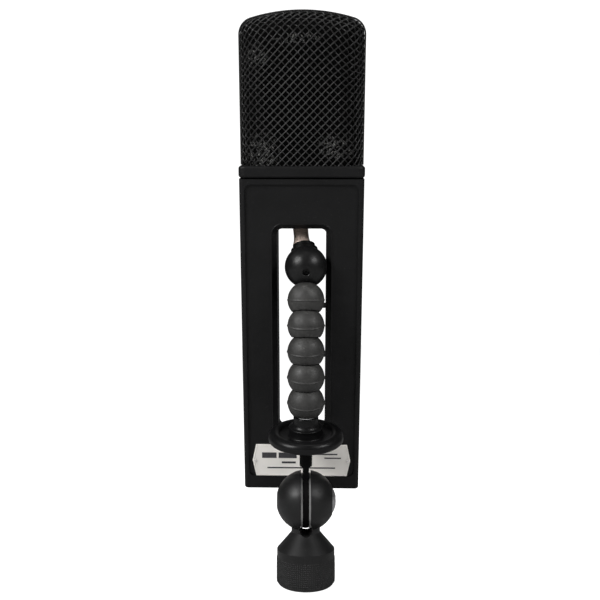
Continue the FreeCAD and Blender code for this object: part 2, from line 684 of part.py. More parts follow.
def make_slot_liner(stud_place, stud_length):
    """The tube that lines the slot, with windows for the two switch levers."""
    body = new_body("SlotLiner")
    sketch = new_sketch(body, "XZ_Plane", "LinerRing")
    outer_corner = "(#slot_corner + #liner_wall)"
    rounded_rectangle(sketch, f"0 - {LINER_HALF}", LINER_HALF, "#slot_bottom - #liner_wall",
                      "#slot_top + #liner_wall", outer_corner)
    rounded_rectangle(sketch, f"0 - {SLOT_HALF}", SLOT_HALF, "#slot_bottom", "#slot_top", "#slot_corner")
    pad(body, sketch, "LinerPad", f"2 * {PLATE_BACK}", symmetric=True)
    for name, height in (("Pattern", "#pattern_height"), ("Pad", "#pad_height")):
        window = new_sketch(body, "YZ_Plane", f"{name}Window", SLOT_HALF + " - 1")
        half = "(#lever_size / 2 + #lever_clearance)"
        reach = f"({half} + #lever_travel)"
        outline(window, [
            (f"0 - {half}", f"{height} - {reach}"), (half, f"{height} - {reach}"),
            (half, f"{height} + {reach}"), (f"0 - {half}", f"{height} + {reach}"),
        ])
        pocket(body, window, f"{name}WindowCut", "#liner_wall + 2", reverse=True)
    keep_cut("slot_liner", body, stud_place, stud_length)


def keep_cut(label, item, stud_place, stud_length):
    """Cut the stud's passage out of a part of the microphone and keep the result."""
    bar = primitive("Cylinder", f"Passage_{label}", {"Radius": "#stud_head"})
    bar.Height = stud_length + size("#stud_grip")
    bar.Placement = MIC.inverse().multiply(stud_place)
    keep(label, cut(f"Node_{label}", item, bar), MIC)


def make_stud_anchor(stud_place, stud_length):
    """The block above the slot that grips the stud's upper end."""
    low = "#slot_top + #liner_wall"
    anchor = block("AnchorBlock", ["0 - #anchor_half_width", f"0 - {PLATE_BACK}", low],
                   ["#anchor_half_width", PLATE_BACK, f"{low} + #anchor_height"])
    keep_cut("stud_anchor", anchor, stud_place, stud_length)


# ---------------------------------------------------------------- collar, grille and capsule

def make_gasket_and_bulkhead():
    gasket = new_body("JointGasket")
    sketch = new_sketch(gasket, "XY_Plane", "GasketOutline", "#body_top")
    half = "(#body_width / 2 - #gasket_inset)"
    depth = "(#body_depth / 2 - #gasket_inset)"
    rounded_rectangle(sketch, f"0 - {half}", half, f"0 - {depth}", depth, "#body_corner")
    circle(sketch, "0", "0", "#stud_head")
    pad(gasket, sketch, "GasketPad", "#gasket_top - #body_top")
    keep("joint_gasket", gasket, MIC)

    plate = new_body("Bulkhead")
    sketch = new_sketch(plate, "XY_Plane", "BulkheadOutline", "#gasket_top")
    half = "(#collar_width / 2 - #collar_inner)"
    depth = "(#collar_depth / 2 - #collar_inner)"
    rounded_rectangle(sketch, f"0 - {half}", half, f"0 - {depth}", depth, "#body_corner")
    circle(sketch, "0", "0", "#stud_head")
    pad(plate, sketch, "BulkheadPad", "#bulkhead_top - #gasket_top")
    keep("bulkhead", plate, MIC)


def make_grille_collar():
    body = new_body("GrilleCollar")
    sketch = new_sketch(body, "XY_Plane", "CollarOutline", "#gasket_top")
    outer = ("#collar_width / 2", "#collar_depth / 2")
    inner = ("(#collar_width / 2 - #collar_inner)", "(#collar_depth / 2 - #collar_inner)")
    rounded_rectangle(sketch, f"0 - {outer[0]}", outer[0], f"0 - {outer[1]}", outer[1], "#recess_corner")
    rounded_rectangle(sketch, f"0 - {inner[0]}", inner[0], f"0 - {inner[1]}", inner[1], "#body_corner")
    pad(body, sketch, "CollarPad", "#collar_top - #gasket_top")
    limit = (size("#collar_width") / 2 - 3.5, size("#collar_depth") / 2 - 2.2)

    def outside(edge):
        middle = edge.CenterOfMass
        return spans(edge, 2) < 0.01 and (abs(middle.x) > limit[0] or abs(middle.y) > limit[1]) \
            and (edge.BoundBox.XMax > limit[0] + 2.4 or edge.BoundBox.XMin < -limit[0] - 2.4
                 or edge.BoundBox.YMax > limit[1] + 1.6 or edge.BoundBox.YMin < -limit[1] - 1.6)

    dress(body, "CollarEdges", "Fillet", "#collar_edge", outside)
    ledge = new_sketch(body, "XY_Plane", "GrilleLedge", "#collar_ledge")
    stadium(ledge, "0")
    pocket(body, ledge, "LedgeCut", "#collar_top - #collar_ledge + 1", reverse=True)
    keep("grille_collar", body, MIC)


def stadium(sketch, inset):
    """The grille's plan: straight sides with half-round ends."""
    radius = f"(#grille_depth / 2 - {inset})"
    straight = "(#grille_width / 2 - #grille_depth / 2)"
    outline(sketch, [
        (f"0 - {straight}", f"0 - {radius}"), (straight, f"0 - {radius}", radius, 1),
        (f"{straight} + {radius}", "0", radius, 1), (straight, radius),
        (f"0 - {straight}", radius, radius, 1), (f"0 - {straight} - {radius}", "0", radius, 1),
    ])


def crown_outline(sketch, inset, low, far=None):
    """The grille seen from the front: upright sides, rounded corners, a shallow arched top."""
    half = f"(#grille_width / 2 - ({inset}))"
    corner = f"(#crown_corner - ({inset}))"
    crown = f"(#crown_radius - ({inset}))"
    peak = f"(#grille_top - ({inset}))"
    # the corner arc is tangent to the side and to the crown arc
    run = f"(({half} - {corner}) / ({crown} - {corner}))"
    join_x = f"({crown} * {run})"
    join_y = f"({peak} - {crown} + {crown} * sqrt(1 - {run}^2))"
    side_y = f"({peak} - {crown} + ({crown} - {corner}) * sqrt(1 - {run}^2))"
    outline(sketch, [
        (f"0 - {half}", low), (half, low),
        (half, side_y, corner, 1),
        (join_x, join_y, crown, 1),
        ("0", peak, crown, 1),
        (f"0 - {join_x}", join_y, corner, 1),
        (f"0 - {half}", side_y),
    ])
    if far is not None:
        outline(sketch, [
            (f"0 - {half} - {far}", f"{low} - 1"), (f"{half} + {far}", f"{low} - 1"),
            (f"{half} + {far}", f"{peak} + {far}"), (f"0 - {half} - {far}", f"{peak} + {far}"),
        ])


def end_outline(sketch, inset, low, far):
    """The grille seen from the side, as the inner loop of a cutting frame."""
    half = f"(#grille_depth / 2 - ({inset}))"
    bend = f"(#crown_bend - ({inset}))"
    peak = f"(#grille_top - ({inset}))"
    outline(sketch, [
        (f"0 - {half}", low), (half, low),
        (half, f"{peak} - {bend}", bend, 1), (f"{half} - {bend}", peak),
        (f"0 - {half} + {bend}", peak, bend, 1), (f"0 - {half}", f"{peak} - {bend}"),
    ])
    outline(sketch, [
        (f"0 - {half} - {far}", f"{low} - 1"), (f"{half} + {far}", f"{low} - 1"),
        (f"{half} + {far}", f"{peak} + {far}"), (f"0 - {half} - {far}", f"{peak} + {far}"),
    ])


def dome(name, inset, low):
    """A solid dome of the grille's shape, inset all round."""
    body = new_body(name)
    sketch = new_sketch(body, "XY_Plane", f"{name}Plan", low)
    stadium(sketch, inset)
    pad(body, sketch, f"{name}Pad", f"#grille_top - ({inset}) - ({low})")
    front = new_sketch(body, "XZ_Plane", f"{name}Front")
    crown_outline(front, inset, f"({low} - 1)", "5")
    pocket(body, front, f"{name}FrontCut", "2 * #grille_depth", symmetric=True)
    side = new_sketch(body, "YZ_Plane", f"{name}Side")
    end_outline(side, inset, f"({low} - 1)", "5")
    pocket(body, side, f"{name}SideCut", "2 * #grille_width", symmetric=True)
    return body


def make_grille():
    basket = cut("BasketNode", dome("BasketOuter", "0", "#collar_ledge"),
                 dome("BasketInner", "#grille_wall", "(#collar_ledge - 1)"))
    keep("grille_basket", basket, MIC)
    lining = cut("LiningNode", dome("LiningOuter", "#lining_inset", "#collar_ledge"),
                 dome("LiningInner", "(#lining_inset + #lining_wall)", "(#collar_ledge - 1)"))
    keep("inner_mesh", lining, MIC)
    hoop = new_body("GrilleHoop")
    sketch = new_sketch(hoop, "XZ_Plane", "HoopOutline")
    crown_outline(sketch, "0 - #hoop_rise", "#collar_top")
    pad(hoop, sketch, "HoopPad", "#hoop_width", symmetric=True)
    inside = new_sketch(hoop, "XZ_Plane", "HoopInside")
    crown_outline(inside, "0", "(#collar_top - 1)")
    pocket(hoop, inside, "HoopCut", "2 * #hoop_width", symmetric=True)
    keep("grille_hoop", hoop, MIC)


def ring_on_y(name, outer, inner, start, end):
    """A ring or disc around the capsule's axis, which runs front to back."""
    body = new_body(name)
    sketch = new_sketch(body, "XZ_Plane", f"{name}Ring", f"0 - ({end})")
    circle(sketch, "0", "#capsule_height", outer)
    if inner is not None:
        circle(sketch, "0", "#capsule_height", inner)
    pad(body, sketch, f"{name}Pad", f"({end}) - ({start})")
    return body


def make_capsule():
    keep("capsule_ring", ring_on_y("CapsuleRing", "#capsule_ring_radius", "#capsule_radius",
                                   "0 - #capsule_half", "#capsule_half"), MIC)
    keep("capsule_backplate", ring_on_y("Backplate", "#capsule_radius", None,
                                        "0 - #backplate_half", "#backplate_half"), MIC)
    keep("diaphragm_front", ring_on_y("DiaphragmFront", "#capsule_radius", None,
                                      "0 - #backplate_half - #diaphragm", "0 - #backplate_half"), MIC)
    keep("diaphragm_rear", ring_on_y("DiaphragmRear", "#capsule_radius", None,
                                     "#backplate_half", "#backplate_half + #diaphragm"), MIC)
    wide = "#saddle_half_width"
    saddle = block("SaddleBlock", [f"0 - {wide}", "0 - #capsule_half", "#saddle_bottom"],
                   [wide, "#capsule_half", "#saddle_top"])
    round_seat = ring_on_y("SaddleSeat", "#capsule_ring_radius", None,
                           "0 - #capsule_half - 1", "#capsule_half + 1")
    keep("capsule_saddle", cut("SaddleNode", saddle, round_seat), MIC)
    deep = "#isolator_half_depth"
    puck = block("IsolatorBlock", [f"0 - {wide}", f"0 - {deep}", "#bulkhead_top"],
                 [wide, deep, "#saddle_bottom"])
    keep("capsule_isolator", group("IsolatorNode", [puck]), MIC)


# ---------------------------------------------------------------- electronics, switches, connector

def make_boards():
    """A circuit board in each side channel, with its cans and chips as groups."""
    inner = LINER_HALF
    outer = OPEN_HALF
    left = block("BoardLeft", [f"0 - {outer}", "0 - #board_thickness / 2", "#board_bottom"],
                 [f"0 - {inner}", "#board_thickness / 2", "#board_top"])
    keep("pcb_left", group("BoardLeftNode", [left]), MIC)
    right = block("BoardRight", [inner, "#board_setback", "#board_bottom"],
                  [outer, "#board_setback + #board_thickness", "#board_top"])
    keep("pcb_right", group("BoardRightNode", [right]), MIC)

    middle = f"(({inner} + {outer}) / 2)"
    front_of_left = "(0 - #board_thickness / 2)"
    front_of_right = "#board_setback"
    for side, sign, surface, heights in (
            ("left", "0 - ", front_of_left, LEFT_PARTS),
            ("right", "", front_of_right, RIGHT_PARTS)):
        items = []
        for index, height in enumerate(heights):
            if index % 2 == 0:
                items.append(make_can(f"Can_{side}_{index}", f"{sign}{middle}", surface, height))
            else:
                low = [f"{sign}{middle} - #chip_side / 2", f"{surface} - #chip_height",
                       f"{height} - #chip_side / 2"]
                high = [f"{sign}{middle} + #chip_side / 2", surface, f"{height} + #chip_side / 2"]
                items.append(block(f"Chip_{side}_{index}", low, high))
        keep(f"pcb_{side}_parts", group(f"Parts_{side}", items), MIC)


def make_can(name, x, surface, height):
    """An upright capacitor can on a board, standing towards the front."""
    can = primitive("Cylinder", name, {"Radius": "#can_radius", "Height": "#can_length"})
    can.Placement = FreeCAD.Placement(ORIGIN, FreeCAD.Rotation(X_AXIS, 90))
    can.setExpression("Placement.Base.x", bound(x))
    can.setExpression("Placement.Base.y", bound(surface))
    can.setExpression("Placement.Base.z", f"{height}")
    return can


def make_switches():
    """Two slide switches whose levers stand out of the slot's right wall."""
    half = "(#lever_size / 2)"
    gap = "(#lever_size / 2 + #lever_clearance)"
    reach = f"({gap} + #lever_travel)"
    back = f"({LINER_HALF} + #switch_room)"
    for name, height in (("pattern", "#pattern_height"), ("pad", "#pad_height")):
        case_front = "#board_setback - #switch_depth"
        case = block(f"Case_{name}", [LINER_HALF, case_front, f"{height} - #switch_height / 2"],
                     [f"{LINER_HALF} + #switch_width", "#board_setback", f"{height} + #switch_height / 2"])
        room = block(f"Room_{name}", [f"{LINER_HALF} - 1", f"0 - {gap}", f"{height} - {reach}"],
                     [back, gap, f"{height} + {reach}"])
        keep(f"{name}_switch", cut(f"Switch_{name}", case, room), MIC)
        lever = block(f"Lever_{name}", [f"{SLOT_HALF} - #lever_reach", f"0 - {half}", f"{height} - {half}"],
                      [f"{back} - #lever_clearance", half, f"{height} + {half}"])
        keep(f"{name}_lever", group(f"LeverNode_{name}", [lever]), MIC)


def make_nameplate():
    """A thin plate with pointed ends, riveted to the front below the slot."""
    front = "(#body_depth / 2 - #recess)"
    body = new_body("Nameplate")
    sketch = new_sketch(body, "XZ_Plane", "NameplateOutline", front)
    middle = "((#plate_low + #plate_high) / 2)"
    outline(sketch, [
        ("0 - #plate_half", "#plate_low"), ("#plate_half", "#plate_low"), ("#plate_tip", middle),
        ("#plate_half", "#plate_high"), ("0 - #plate_half", "#plate_high"), ("0 - #plate_tip", middle),
    ])
    pad(body, sketch, "NameplatePad", "#plate_sheet")
    keep("nameplate", body, MIC)
    rivets = []
    for side in ("0 - ", ""):
        rivet = primitive("Cylinder", "Rivet", {"Radius": "#rivet_radius", "Height": "#plate_sheet"})
        rivet.Placement = FreeCAD.Placement(ORIGIN, FreeCAD.Rotation(X_AXIS, 90))
        rivet.setExpression("Placement.Base.x", bound(f"{side}#rivet_place"))
        rivet.setExpression("Placement.Base.y", bound(f"0 - {front} - #plate_sheet"))
        rivet.setExpression("Placement.Base.z", bound(middle))
        rivets.append(rivet)
    keep("nameplate_rivets", group("RivetNode", rivets), MIC)


def make_connector():
    """A three-pin male connector sunk into the bottom of the body."""
    sleeve = new_body("ConnectorSleeve")
    sketch = new_sketch(sleeve, "XY_Plane", "SleeveRing", "#sleeve_inset")
    circle(sketch, "0", "0", "#sleeve_radius")
    circle(sketch, "0", "0", "#socket_radius")
    pad(sleeve, sketch, "SleevePad", "#sleeve_top - #sleeve_inset")
    keep("xlr_sleeve", sleeve, MIC)
    disc = new_body("ConnectorInsert")
    sketch = new_sketch(disc, "XY_Plane", "InsertDisc", "#insert_bottom")
    circle(sketch, "0", "0", "#socket_radius")
    angles = (150, 30, 270)
    for angle in angles:
        circle(sketch, f"#pin_circle * cos({angle})", f"#pin_circle * sin({angle})", "#pin_radius")
    pad(disc, sketch, "InsertDiscPad", "#sleeve_top - #insert_bottom")
    keep("xlr_insert", disc, MIC)
    pins = []
    for angle in angles:
        pin = primitive("Cylinder", "Pin", {"Radius": "#pin_radius", "Height": "#pin_top - #pin_tip"})
        pin.setExpression("Placement.Base.x", bound(f"#pin_circle * cos({angle})"))
        pin.setExpression("Placement.Base.y", bound(f"#pin_circle * sin({angle})"))
        pin.setExpression("Placement.Base.z", bound("#pin_tip"))
        pins.append(pin)
    keep("xlr_pins", group("PinNode", pins), MIC)


def make_fasteners():
    """Button screws on the rear plate and on the bottom cap."""
    rear = "(#body_depth / 2 - #recess)"
    items = []
    sizes = {"Radius": "#small_screw_radius", "Height": "#small_screw_height"}
    for x in ("0 - #rear_screw_x", "#rear_screw_x"):
        for z in ("#rear_screw_low", "#rear_screw_middle", "#rear_screw_high"):
            screw = primitive("Cylinder", "RearScrew", sizes)
            screw.Placement = FreeCAD.Placement(ORIGIN, FreeCAD.Rotation(X_AXIS, -90))
            screw.setExpression("Placement.Base.x", bound(x))
            screw.setExpression("Placement.Base.y", bound(rear))
            screw.setExpression("Placement.Base.z", bound(z))
            items.append(screw)
    keep("rear_screws", group("RearScrewNode", items), MIC)
    items = []
    for x in ("0 - #cap_screw_x", "#cap_screw_x"):
        screw = primitive("Cylinder", "CapScrew", sizes)
        screw.setExpression("Placement.Base.x", bound(x))
        screw.setExpression("Placement.Base.z", bound("0 - #small_screw_height"))
        items.append(screw)
    keep("cap_screws", group("CapScrewNode", items), MIC)


# ---------------------------------------------------------------- build, test and export

def build():
    make_swivel_base()
    make_thread_insert()
    make_pivot_hardware()
    make_tilt_tongue()
    make_flange()
    make_beads()
    make_grub_screw(make_top_ball())
    stud_place, stud_length = make_collar_and_stud()
    make_body_frame()
    make_bottom_cap()
    make_face_plates()
    make_slot_liner(stud_place, stud_length)
    make_stud_anchor(stud_place, stud_length)
    make_gasket_and_bulkhead()
    make_grille_collar()
    make_grille()
    make_capsule()
    make_boards()
    make_switches()
    make_nameplate()
    make_connector()
    make_fasteners()
    DOC.recompute()


def check():
    for item in DOC.Objects:
        if "Invalid" in item.State or "Error" in item.State:
            raise RuntimeError(f"{item.Label} failed: {item.State}")
    for label, item in NODES.items():
        if item.Shape.isNull() or not item.Shape.isValid():
            raise RuntimeError(f"{label} has no valid shape")


def export():
    os.makedirs("parts", exist_ok=True)
    for label, item in NODES.items():
        item.Shape.exportStep(f"parts/{label}.step")
        box = item.Shape.BoundBox
        low = f"{box.XMin:.1f} {box.YMin:.1f} {box.ZMin:.1f}"
        high = f"{box.XMax:.1f} {box.YMax:.1f} {box.ZMax:.1f}"
        print(f"{label}: {len(item.Shape.Solids)} solid(s), {item.Shape.Volume:.1f} mm3, from {low} to {high}")


build()
check()
export()
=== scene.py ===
import json
import math

import bpy
import numpy as np
from mathutils import Matrix, Vector


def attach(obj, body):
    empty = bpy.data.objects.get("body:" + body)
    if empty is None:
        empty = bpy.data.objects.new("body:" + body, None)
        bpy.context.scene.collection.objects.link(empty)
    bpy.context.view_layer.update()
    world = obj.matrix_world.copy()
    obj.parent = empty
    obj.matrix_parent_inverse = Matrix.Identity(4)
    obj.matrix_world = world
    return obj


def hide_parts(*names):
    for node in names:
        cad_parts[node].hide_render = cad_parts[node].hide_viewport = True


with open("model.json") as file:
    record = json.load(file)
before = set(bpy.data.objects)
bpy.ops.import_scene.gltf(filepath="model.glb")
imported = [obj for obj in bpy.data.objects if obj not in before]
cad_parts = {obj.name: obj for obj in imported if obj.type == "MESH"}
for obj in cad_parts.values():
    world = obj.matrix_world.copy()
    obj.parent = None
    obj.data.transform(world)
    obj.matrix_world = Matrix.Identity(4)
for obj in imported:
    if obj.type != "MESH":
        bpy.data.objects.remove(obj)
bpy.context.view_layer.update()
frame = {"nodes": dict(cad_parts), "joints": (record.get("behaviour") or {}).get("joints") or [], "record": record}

# Lengths are millimetres in the builders below and become metres through MM.
MM = 0.001
JOINTS = {joint["name"]: joint for joint in frame["joints"]}
MOUNTS = {mount["name"]: mount for mount in frame["record"]["mounts"]}
PIVOT = Vector(JOINTS["base_tilt"]["pos_m"])
BALL = Vector(JOINTS["mic_tilt"]["pos_m"])


# ---------------------------------------------------------------- where things are

def standing(centre, axis, turn=0.0):
    """A matrix with its origin at centre, its Z along axis and its X kept level."""
    lean = math.atan2(-axis.y, math.hypot(axis.z, axis.x))
    side = math.atan2(axis.x, axis.z)
    rotation = Matrix.Rotation(side, 4, "Y") @ Matrix.Rotation(lean, 4, "X") @ Matrix.Rotation(turn, 4, "Z")
    return Matrix.Translation(centre) @ rotation


def bead_frames():
    """Bead 5 is lowest. Each bead's axis runs from the centre of the one below it."""
    centres = {5: "arm_bend", 4: "arm_sway", 3: "arm_bend_upper", 2: "arm_sway_upper"}
    places = {number: Vector(JOINTS[name]["pos_m"]) for number, name in centres.items()}
    ball_axis = Vector(JOINTS["head_turn"]["axis"])
    ball_pitch = 14.56 * MM
    places[1] = BALL - ball_axis * ball_pitch
    frames = {5: standing(places[5], (places[5] - PIVOT).normalized())}
    for number in (4, 3, 2, 1):
        frames[number] = standing(places[number], (places[number] - places[number + 1]).normalized())
    frames["ball"] = standing(BALL, ball_axis)
    return frames


# The ball's hole looks forward and this far down.
HOLE_DIP = math.radians(19.7)
# How far each bead's mould ridge is turned forward of the bead's own middle, in degrees.
RIDGE_TILT = {1: 11, 2: 14, 3: 11, 4: 8, 5: 6.7}
MIC_YAW = math.radians(-1.2)
MIC_UP = -Vector(MOUNTS["xlr_socket"]["axis"])
MIC = standing(Vector(MOUNTS["xlr_socket"]["pos_m"]), MIC_UP, MIC_YAW)
BEADS = bead_frames()
FOOT_AXIS = (Vector(JOINTS["arm_bend"]["pos_m"]) - PIVOT).normalized()
FLANGE = standing(PIVOT + FOOT_AXIS * 29.94 * MM, FOOT_AXIS)


# ---------------------------------------------------------------- mesh helpers

def add_mesh(name, points, faces, matrix, material, body, sharp=35.0):
    """A mesh from millimetre points, moved by matrix into the row frame, riding on a body."""
    mesh = bpy.data.meshes.new(name)
    places = np.asarray(points, float) * MM
    rotation = np.array(matrix.to_3x3())
    places = places @ rotation.T + np.array(matrix.translation)
    mesh.from_pydata(places.tolist(), [], faces)
    mesh.validate()
    mesh.shade_smooth()
    if sharp is not None:
        mesh.set_sharp_from_angle(angle=math.radians(sharp))
    mesh.materials.append(material)
    piece = bpy.data.objects.new(name, mesh)
    bpy.context.scene.collection.objects.link(piece)
    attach(piece, body)
    return piece


def arc(centre_r, centre_z, radius, start, end, steps):
    """Points (r, z) along an arc; angles in degrees from the +r direction."""
    angles = np.radians(np.linspace(start, end, steps))
    return [(centre_r + radius * math.cos(a), centre_z + radius * math.sin(a)) for a in angles]


def turned(profile, steps=96):
    """Points and faces of a profile of (r, z) turned about Z. It closes where r is 0."""
    points = []
    rings = []
    for radius, height in profile:
        if radius < 1e-6:
            rings.append([len(points)] * steps)
            points.append((0.0, 0.0, height))
            continue
        rings.append(list(range(len(points), len(points) + steps)))
        for i in range(steps):
            angle = 2 * math.pi * i / steps
            points.append((radius * math.cos(angle), radius * math.sin(angle), height))
    faces = []
    for low, high in zip(rings, rings[1:]):
        for i in range(steps):
            j = (i + 1) % steps
            corners = [low[i], low[j], high[j], high[i]]
            face = [c for k, c in enumerate(corners) if c not in corners[:k]]
            if len(face) > 2:
                faces.append(face)
    return points, faces


def tube_rings(path, normals, radius, sides, points, faces):
    """Add a tube along path to points and faces; normals steer its cross-section."""
    count = len(path)
    if count < 2:
        return
    tangents = np.gradient(path, axis=0)
    tangents /= np.linalg.norm(tangents, axis=1, keepdims=True)
    across = np.cross(tangents, normals)
    across /= np.linalg.norm(across, axis=1, keepdims=True)
    upward = np.cross(across, tangents)
    start = len(points)
    for k in range(count):
        for i in range(sides):
            angle = 2 * math.pi * i / sides
            points.append(path[k] + radius * (math.cos(angle) * upward[k] + math.sin(angle) * across[k]))
    for k in range(count - 1):
        low = start + k * sides
        for i in range(sides):
            j = (i + 1) % sides
            faces.append((low + i, low + j, low + sides + j, low + sides + i))
    faces.append(tuple(start + i for i in reversed(range(sides))))
    faces.append(tuple(start + (count - 1) * sides + i for i in range(sides)))


# ---------------------------------------------------------------- materials

def shader(name, base, roughness, metallic=0.0, specular=0.5, coat=0.0):
    """A node material and its Principled shader, with the plain values on the shader's sockets."""
    material = bpy.data.materials.new(name)
    material.use_nodes = True
    node = material.node_tree.nodes["Principled BSDF"]
    node.inputs["Base Color"].default_value = (*base, 1)
    node.inputs["Roughness"].default_value = roughness
    node.inputs["Metallic"].default_value = metallic
    node.inputs["Specular IOR Level"].default_value = specular
    node.inputs["Coat Weight"].default_value = coat
    return material, node


def noise(tree, scale, detail=3.0, stretch=None, rough=0.55):
    """A noise texture over the object's own coordinates; scale is per metre."""
    coordinates = tree.nodes.new("ShaderNodeTexCoord")
    source = coordinates.outputs["Object"]
    if stretch is not None:
        mapping = tree.nodes.new("ShaderNodeMapping")
        mapping.inputs["Scale"].default_value = stretch
        tree.links.new(source, mapping.inputs["Vector"])
        source = mapping.outputs["Vector"]
    texture = tree.nodes.new("ShaderNodeTexNoise")
    texture.inputs["Scale"].default_value = scale
    texture.inputs["Detail"].default_value = detail
    texture.inputs["Roughness"].default_value = rough
    tree.links.new(source, texture.inputs["Vector"])
    return texture.outputs["Fac"]


def spread(tree, value, low, high, start=0.3, end=0.7):
    """Map a 0 to 1 value onto low..high."""
    node = tree.nodes.new("ShaderNodeMapRange")
    node.inputs["From Min"].default_value = start
    node.inputs["From Max"].default_value = end
    node.inputs["To Min"].default_value = low
    node.inputs["To Max"].default_value = high
    tree.links.new(value, node.inputs["Value"])
    return node.outputs["Result"]


def blend_colour(tree, factor, first, second):
    """Mix two colours, each a tuple or a socket, by a factor socket."""
    node = tree.nodes.new("ShaderNodeMix")
    node.data_type = "RGBA"
    tree.links.new(factor, node.inputs["Factor"])
    for socket, value in ((node.inputs["A"], first), (node.inputs["B"], second)):
        if isinstance(value, tuple):
            socket.default_value = (*value, 1)
        else:
            tree.links.new(value, socket)
    return node.outputs["Result"]


def bump(tree, node, height, strength, distance):
    """Drive the shader's normal from a height; distance in millimetres."""
    relief = tree.nodes.new("ShaderNodeBump")
    relief.inputs["Strength"].default_value = strength
    relief.inputs["Distance"].default_value = distance * MM
    tree.links.new(height, relief.inputs["Height"])
    tree.links.new(relief.outputs["Normal"], node.inputs["Normal"])
    return relief


def powder_coat(name, base, roughness=0.48, grain=5200, specks=0.5, specular=0.18):
    """Satin black coat: a fine pebbled grain, faint clouding and tiny pale dust specks."""
    material, node = shader(name, base, roughness, specular=specular)
    tree = material.node_tree
    cloud = noise(tree, 90, 4)
    tint = blend_colour(tree, spread(tree, cloud, 0, 1), base, tuple(c * 1.45 for c in base))
    dust = noise(tree, 2600, 1, rough=0.3)
    speck = spread(tree, dust, 0, specks, 0.735, 0.78)
    tree.links.new(blend_colour(tree, speck, tint, (0.06, 0.06, 0.06)), node.inputs["Base Color"])
    sheen = spread(tree, noise(tree, 260, 3), roughness - 0.05, roughness + 0.07)
    tree.links.new(sheen, node.inputs["Roughness"])
    bump(tree, node, noise(tree, grain, 2), 0.35, 0.03)
    return material


def rubber(name, base, scuffs, specular=0.45):
    """Dry moulded rubber with clouded colour and chalky rubbed patches."""
    material, node = shader(name, base, 0.6, specular=specular)
    tree = material.node_tree
    tone = blend_colour(tree, spread(tree, noise(tree, 320, 5), 0, 1), tuple(c * 0.75 for c in base),
                        tuple(c * 1.35 for c in base))
    patch = spread(tree, noise(tree, 240, 6, rough=0.7), 0, 1, 0.53, 0.70)
    fleck = spread(tree, noise(tree, 1900, 4, (1, 1, 2.2), 0.75), 0, 1, 0.50, 0.66)
    worn = tree.nodes.new("ShaderNodeMath")
    worn.operation = "MULTIPLY"
    tree.links.new(patch, worn.inputs[0])
    tree.links.new(fleck, worn.inputs[1])
    chalk = spread(tree, worn.outputs["Value"], 0, scuffs, 0.0, 0.8)
    tree.links.new(blend_colour(tree, chalk, tone, (0.17, 0.168, 0.162)), node.inputs["Base Color"])
    tree.links.new(spread(tree, noise(tree, 700, 3), 0.48, 0.66), node.inputs["Roughness"])
    bump(tree, node, noise(tree, 3600, 4), 0.5, 0.05)
    return material


def steel(name, base, roughness, stretch=(1, 1, 30), strength=0.12, metallic=1.0):
    """Turned or polished metal with fine drawn lines."""
    material, node = shader(name, base, roughness, metallic=metallic)
    tree = material.node_tree
    lines = noise(tree, 500, 4, stretch)
    tree.links.new(spread(tree, lines, roughness * 0.7, roughness * 1.5), node.inputs["Roughness"])
    tree.links.new(blend_colour(tree, spread(tree, noise(tree, 140, 3), 0, 1), base,
                                tuple(c * 0.8 for c in base)), node.inputs["Base Color"])
    bump(tree, node, lines, strength, 0.01)
    return material


def moulded(name, base, roughness=0.5):
    """Plain moulded plastic or lacquer with a slight texture."""
    material, node = shader(name, base, roughness)
    tree = material.node_tree
    tree.links.new(blend_colour(tree, spread(tree, noise(tree, 400, 4), 0, 1), base,
                                tuple(c * 0.7 for c in base)), node.inputs["Base Color"])
    sheen = spread(tree, noise(tree, 900, 2), roughness - 0.08, roughness + 0.08)
    tree.links.new(sheen, node.inputs["Roughness"])
    bump(tree, node, noise(tree, 3000, 2), 0.2, 0.02)
    return material


def patch(tree, x, z, wide, tall):
    """A soft round patch in front view: 1 at its middle and 0 outside. Places are in millimetres."""
    coordinates = tree.nodes.new("ShaderNodeTexCoord")
    mapping = tree.nodes.new("ShaderNodeMapping")
    mapping.inputs["Scale"].default_value = (1 / (wide * MM), 0, 1 / (tall * MM))
    mapping.inputs["Location"].default_value = (-x / wide, 0, -z / tall)
    tree.links.new(coordinates.outputs["Object"], mapping.inputs["Vector"])
    length = tree.nodes.new("ShaderNodeVectorMath")
    length.operation = "LENGTH"
    tree.links.new(mapping.outputs["Vector"], length.inputs[0])
    return spread(tree, length.outputs["Value"], 1, 0, 0.5, 1.0)


def combine(tree, operation, first, second):
    """A math node over two values, each a socket or a number."""
    node = tree.nodes.new("ShaderNodeMath")
    node.operation = operation
    for socket, value in zip(node.inputs, (first, second)):
        if isinstance(value, (int, float)):
            socket.default_value = value
        else:
            tree.links.new(value, socket)
    return node.outputs["Value"]


# Patches of painted highlight on the lining's wires, where it lies close behind the grille:
# x, z, half width and half height in millimetres.
LINING_GLINTS = ((-18, 184, 8, 9), (13, 186, 9, 6), (-4, 227, 12, 2), (-20, 221, 5, 5))


